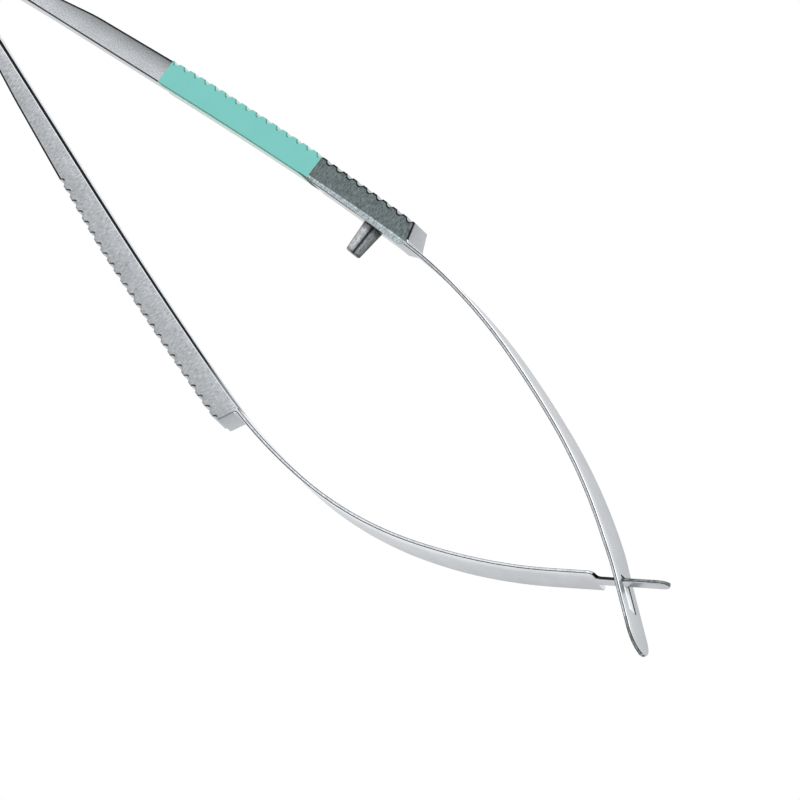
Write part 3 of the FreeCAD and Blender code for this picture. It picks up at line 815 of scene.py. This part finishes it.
# Painted light on the lower handle: a painted dark reflection on the inner face above a painted white lower strip, a
# painted highlight on the inner corner, and painted shade outlines and groove lines along the rim.
def lower_finish(station, segment):
    if station > LOWER_ROOT:
        return lower_arm_finish(station, segment)
    if segment in (NEAR_EDGE, FAR_EDGE):
        return lower_flank
    if segment in (INNER_HIGH, INNER, INNER_LOW):
        return bright_inner if segment == INNER_LOW else dark_inner
    if segment == INNER_BEVEL:
        return bright_corner
    if segment in (OUTER, BEVEL) and station > LOWER_BAR[-1][0]:
        return lower_end_face
    if segment in (RIM, BEVEL):
        if station < GRIP_START:
            return painted_shade_steel
        return hook_line if in_groove_rear(station) else soft_outline
    return grip


print("grooves from station %.2f to %.2f" % (groove_stations[-1], groove_stations[0]))

# %% [markdown]
# ## Forging
# All numbers are in place, so each half is one call. The lower half starts where its rear leaf ends, because
# that leaf bends on its own and is a mesh of its own.

# %% Forge the upper half
EDGE_BEVEL = 0.06
FAR_FOOT = 0.35
upper_half = forge("upper_half", upper_path, 1, upper_stations, upper_thickness, upper_width, upper_width,
                   EDGE_BEVEL, upper_finish, slot=(SLOT_REAR, SLOT_FRONT, SLOT_HALF), inset=upper_inset,
                   foot=(UPPER_BAR[-1][0], FAR_FOOT))

# %% Forge the lower half
LEAF_SPLIT = 20.0
LOWER_RAIL = 0.3
lower_half = forge("lower_half", lower_path, -1, [LEAF_SPLIT] + [s for s in lower_stations if s > LEAF_SPLIT + 0.05],
                   lower_thickness, lower_near_width, lower_far_width, EDGE_BEVEL, lower_finish, rail=LOWER_RAIL)

# %% [markdown]
# ## The bending places
# The real steel bends over some length, while the model's bodies turn about one line. Here the solids that
# the smooth meshes replace are hidden, and each mesh's placement is baked into its points. The stations at
# 74.9 and 84.0 mm on the arms and at 8.6 and 17.5 mm on the rear leaf are looked up but not used.

# %% Hide the replaced solids and bake the meshes in place
def spot(path, side, station):
    return place(path, side, station, LEAF / 2, 0.0)


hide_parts("upper_handle", "upper_arm")
spot(upper_path, 1, 74.9)
spot(upper_path, 1, 84.0)
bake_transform(upper_half)

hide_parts("lower_handle", "lower_arm")
spot(lower_path, -1, 74.9)
spot(lower_path, -1, 84.0)
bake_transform(lower_half)

rear_leaf = forge("lower_rear_leaf", lower_path, -1,
                  tidy(TAB_END + spaced(TAB_CORNER, LEAF_SPLIT, 0.4) + [LEAF_SPLIT]), lower_thickness,
                  lower_near_width, lower_far_width, EDGE_BEVEL, lower_finish, rail=LOWER_RAIL)
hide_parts("lower_tab")
spot(lower_path, -1, 8.6)
spot(lower_path, -1, 17.5)
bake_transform(rear_leaf)

# %% [markdown]
# ## Colour band
# The band marks the instrument. It is a thin even coat round the bar that follows the grooves, matt and
# slightly waxy. It stands 0.06 mm proud of the steel, so its ends show as a fine step. Besides its own teal it
# carries painted light: a painted shade line along its inner edge and at the groove mouths, a paler painted
# highlight on its inner and outer faces, and a painted shadow where its inner face meets the heel.

# %% Make the colour band
COAT = dict(marks=(3.0, 3.0, 3.0), contrast=0.015, patches=0.015, roughness=0.55, bump=0.03, metal=0.0)
# Only the first colour is the coat's own teal; the next three are painted shade, painted highlight and painted shadow.
band_colour = finish("Band colour", (0.2, 0.63, 0.58, 1), **COAT)
band_line = finish("Band edge", (0.07, 0.32, 0.26, 1), **COAT)
band_inner = finish("Band inner face", (0.72, 0.93, 0.86, 1), **COAT)
band_end_shadow = finish("Band end shadow", (0.025, 0.045, 0.04, 1), edge=0.0, **COAT)
band_thickness = thickness_of(UPPER_BAR, BAND_WALL)


# The inner face's last stretch before the heel gets the painted shadow, inner edges and rear groove walls the painted
# shade line, and the inner and outer faces the painted highlight.
def band_finish(station, segment):
    if segment in (INNER, INNER_LOW, INNER_HIGH, INNER_BEVEL):
        if station > BAND_END - BAND_SHADOW_LENGTH:
            return band_end_shadow
        return band_inner if segment in (INNER, INNER_LOW) else band_line
    if segment in (RIM, BEVEL):
        return band_line if in_groove_rear(station) else band_colour
    return band_inner if segment == OUTER else band_colour


BAND_BEVEL = 0.05
band_half = always(NARROW + BAND_WALL)
colour_band = forge("dressed_colour_band", upper_path, 1,
                    tidy([BAND_START, BAND_END - BAND_SHADOW_LENGTH, BAND_END] + spaced(BAND_START, BAND_END, 0.4)
                         + [s for s in grip_stations() if BAND_START < s < BAND_END]),
                    band_thickness, band_half, band_half, BAND_BEVEL, band_finish, inset=always(BAND_WALL))
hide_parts("colour_band")
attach(colour_band, "upper_handle")

# %% [markdown]
# ## Stop pin
# The pin is a turned cone with a rounded end. It could be a cylinder primitive, but rings round an axis give
# it a trail too: the way round it, and the distance from its foot. The dark streaks along it are painted
# reflections, tones by the way round, as a turned part shows them in a bright room. Its foot carries a painted
# shadow, and its rounded end painted shade.

# %% Turn the stop pin
PIN_STATION, PIN_LENGTH = 64.4, 2.75
PIN_SIDES = 48
PIN_TRAIL = 10.0  # the way round the pin counts as this many millimetres
PIN_PROFILE = [(0.0, 0.94), (0.06, 0.935), (0.7, 0.875), (1.5, 0.81), (2.2, 0.75), (PIN_LENGTH - 0.12, 0.712),
               (PIN_LENGTH - 0.08, 0.69), (PIN_LENGTH - 0.03, 0.65), (PIN_LENGTH, 0.58)]


def pin_axis():
    """The pin's foot on the heel and the way it points, in metres."""
    rear, front = HEEL[1], HEEL[2]
    a = Vector(place(upper_path, 1, rear[0], -rear[1], 0.0))
    b = Vector(place(upper_path, 1, front[0], -front[1], 0.0))
    along = (b - a).normalized()
    return a + along * (PIN_STATION - rear[0]) * MM, Vector((along.y, -along.x, 0)), along


def turn_pin(name, side_finish, foot_finish):
    """Rings round the axis. The lowest one gets the foot's finish."""
    foot, way, along = pin_axis()
    steps = PIN_SIDES
    points, memory, faces, finishes = [], [], [], []
    for reach, radius in PIN_PROFILE:
        for step in range(steps):
            angle = 2 * math.pi * step / steps
            outwards = along * math.cos(angle) + Vector((0, 0, 1)) * math.sin(angle)
            points.append(foot + (way * reach + outwards * radius) * MM)
            memory.append((step / steps * PIN_TRAIL, reach, 0.0))
    for row in range(len(PIN_PROFILE) - 1):
        for step in range(steps):
            n = (step + 1) % steps
            faces.append((row * steps + step, row * steps + n, (row + 1) * steps + n, (row + 1) * steps + step))
            finishes.append(0 if row else 1)
    faces.append(tuple(reversed(range(steps))))
    faces.append(tuple(range(len(points) - steps, len(points))))
    finishes += [0, 0]
    piece = trailed_piece(name, points, faces, memory)
    mesh = piece.data
    mesh.materials.append(side_finish)
    mesh.materials.append(foot_finish)
    mesh.polygons.foreach_set("material_index", finishes)
    mesh.polygons.foreach_set("use_smooth", [True] * len(faces))
    mesh.set_sharp_from_angle(angle=math.radians(35))
    mesh.validate()
    return piece


# Painted reflections round the pin, and painted shade along it: a shadow at the foot and a darker rounded end.
PIN_REFLECTION_TONES = [(0.0, 92), (0.35, 132), (1.1, 152), (1.42, 44), (1.6, 44), (1.8, 150), (2.3, 192), (3.1, 182),
                 (3.7, 116), (4.1, 56), (7.5, 90), (PIN_TRAIL, 60)]
PIN_SHADE_ALONG = [(0.0, 0.2), (0.3, 0.4), (0.62, 1.0), (2.45, 1.0), (2.6, 0.55), (PIN_LENGTH, 0.4)]
pin_steel = finish("Pin steel", (STATION, PIN_REFLECTION_TONES), shade=(DEPTH, PIN_SHADE_ALONG), marks=(2.5, 3.5, 3.5),
                   contrast=0.5, roughness=0.3)
# The lowest ring gets the painted shade outline, a painted shadow at the pin's foot.
pin = turn_pin("turned_stop_pin", pin_steel, painted_shade_steel)
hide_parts("stop_pin")
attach(pin, "upper_handle")
print("pin faces", len(pin.data.polygons))

# %% [markdown]
# ## Rear joint
# The spacer and the rivets have the right shape already, so they keep their solids and only get a finish.
# They have no trail, so their marks come from where each point stands.

# %% Finish the spacer and the rivets
def plain_steel(name, value, stretch):
    material = bpy.data.materials.new(name)
    material.use_nodes = True
    tree = material.node_tree
    shader = tree.nodes["Principled BSDF"]
    shader.inputs["Metallic"].default_value = 1.0
    shader.inputs["Roughness"].default_value = 0.38
    where = tree.nodes.new("ShaderNodeTexCoord")
    scaled = tree.nodes.new("ShaderNodeVectorMath")
    scaled.operation = "MULTIPLY"
    scaled.inputs[1].default_value = stretch
    link(tree, where.outputs["Object"], scaled.inputs[0])
    lines = tree.nodes.new("ShaderNodeTexNoise")
    lines.inputs["Scale"].default_value = 1000.0
    link(tree, scaled.outputs[0], lines.inputs["Vector"])
    ramp = tree.nodes.new("ShaderNodeValToRGB")
    ramp.color_ramp.elements[0].color = grey(value - 35)
    ramp.color_ramp.elements[1].color = grey(value + 30)
    link(tree, lines.outputs["Fac"], ramp.inputs["Fac"])
    link(tree, ramp.outputs["Color"], shader.inputs["Base Color"])
    return material


spacer_steel = plain_steel("Spacer steel", 180, (9.0, 1.0, 2.0))
rivet_steel = plain_steel("Rivet steel", 195, (2.0, 2.0, 2.0))
for node in ("rear_spacer", "rear_rivet_1", "rear_rivet_2"):
    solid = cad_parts[node]
    for material_slot in solid.material_slots:
        material_slot.link = "OBJECT"
        material_slot.material = spacer_steel if node == "rear_spacer" else rivet_steel
    print(node, "slots", len(solid.material_slots))

# %% [markdown]
# ## Floor and world
# The instrument stands free in its picture: the ground is plain white with no shadow near it. The floor is
# therefore some way below. Eye and mirror rays meet full white, while the light that reaches the steel from
# the world is softer, so the background turns white without more light on the object.

# %% Floor and world
WHITE_RAYS = ("Is Camera Ray", "Is Glossy Ray", "Is Transmission Ray")


def white_for_the_eye(tree, plain, bright):
    """Mix two shaders so that eye, mirror and glass rays meet the bright one."""
    path = tree.nodes.new("ShaderNodeLightPath")
    total = None
    for label in WHITE_RAYS:
        if total is None:
            total = path.outputs[label]
            continue
        add = tree.nodes.new("ShaderNodeMath")
        add.operation = "MAXIMUM"
        link(tree, total, add.inputs[0])
        link(tree, path.outputs[label], add.inputs[1])
        total = add.outputs[0]
    mix = tree.nodes.new("ShaderNodeMixShader")
    link(tree, total, mix.inputs[0])
    link(tree, plain, mix.inputs[1])
    link(tree, bright, mix.inputs[2])
    return mix.outputs[0]


world = bpy.data.worlds.new("Studio")
bpy.context.scene.world = world
world.use_nodes = True
sky = world.node_tree
soft = sky.nodes["Background"]
soft.inputs["Color"].default_value = (1, 1, 1, 1)
soft.inputs["Strength"].default_value = 0.7
clear = sky.nodes.new("ShaderNodeBackground")
clear.inputs["Color"].default_value = (1, 1, 1, 1)
clear.inputs["Strength"].default_value = 1.0
link(sky, white_for_the_eye(sky, soft.outputs[0], clear.outputs[0]), sky.nodes["World Output"].inputs["Surface"])

bpy.ops.mesh.primitive_plane_add(size=12, location=(0, 0, -0.04))
floor = bpy.context.object
floor.name = "floor"
floor_paint = bpy.data.materials.new("White floor")
floor_paint.use_nodes = True
tree = floor_paint.node_tree
tree.nodes["Principled BSDF"].inputs["Base Color"].default_value = (0.8, 0.8, 0.8, 1)
tree.nodes["Principled BSDF"].inputs["Roughness"].default_value = 0.9
glow = tree.nodes.new("ShaderNodeEmission")
glow.inputs["Color"].default_value = (1, 1, 1, 1)
link(tree, white_for_the_eye(tree, tree.nodes["Principled BSDF"].outputs[0], glow.outputs[0]),
     tree.nodes["Material Output"].inputs["Surface"])
floor.data.materials.append(floor_paint)
print("world and floor:", world.name, floor.name)

# %% [markdown]
# ## Camera
# The camera is far off with a long lens, because the picture shows hardly any perspective. Its three axes
# are written out: one pixel of the picture then has a known size on the instrument, and the view can be
# turned by small steps until the outlines meet.

# %% Aim the camera
PICTURE = 800
SENSOR = 36
TILT = math.radians(38.0)
TURN = math.radians(44.99)
ROLL = math.radians(-1.0)
PIXEL = 0.0836 * MM
LENS = 1600.0
DISTANCE = PICTURE * PIXEL * LENS / SENSOR
target = Vector((20.608, 0.339, 1.95)) * MM
right = Vector((math.cos(TURN) * math.cos(TILT), math.sin(TURN), -math.cos(TURN) * math.sin(TILT)))
up = Vector((-math.sin(TURN) * math.cos(TILT), math.cos(TURN), math.sin(TURN) * math.sin(TILT)))
rolled = Matrix.Rotation(ROLL, 3, "X")
right, up = rolled @ right, rolled @ up
back = right.cross(up)
camera = bpy.data.objects.new("camera", bpy.data.cameras.new("camera"))
bpy.context.scene.collection.objects.link(camera)
camera.data.lens = LENS
camera.data.sensor_width = SENSOR
camera.data.clip_start = 0.1
camera.data.clip_end = 20
turned = Matrix((right, up, back)).transposed().to_4x4()
camera.matrix_world = Matrix.Translation(target + back * DISTANCE) @ turned
bpy.context.scene.camera = camera
print("camera %.2f m away" % DISTANCE)

# %% [markdown]
# ## Lights
# Two soft boxes stand high on both sides. Each is larger than the instrument, so its highlights are broad
# and have soft ends.

# %% Two soft boxes
def softbox(name, place_m, size, power):
    lamp = bpy.data.objects.new(name, bpy.data.lights.new(name, "AREA"))
    lamp.data.shape = "SQUARE"
    lamp.data.size = size
    lamp.data.energy = power
    lamp.location = place_m
    lamp.rotation_mode = "QUATERNION"
    lamp.rotation_quaternion = (target - lamp.location).to_track_quat("-Z", "Y")
    bpy.context.scene.collection.objects.link(lamp)
    print(name, "light, %.1f m wide, %.1f W" % (size, power))


softbox("key", Vector((-0.3, 0.35, 0.6)), 0.5, 1.2)
softbox("fill", Vector((0.5, -0.4, 0.5)), 0.6, 0.6)

# %% [markdown]
# ## Finish
# The look is fixed to the Standard transform, so that a colour renders as it is written.

# %% View and finish
scene = bpy.context.scene
scene.view_settings.view_transform = "Standard"
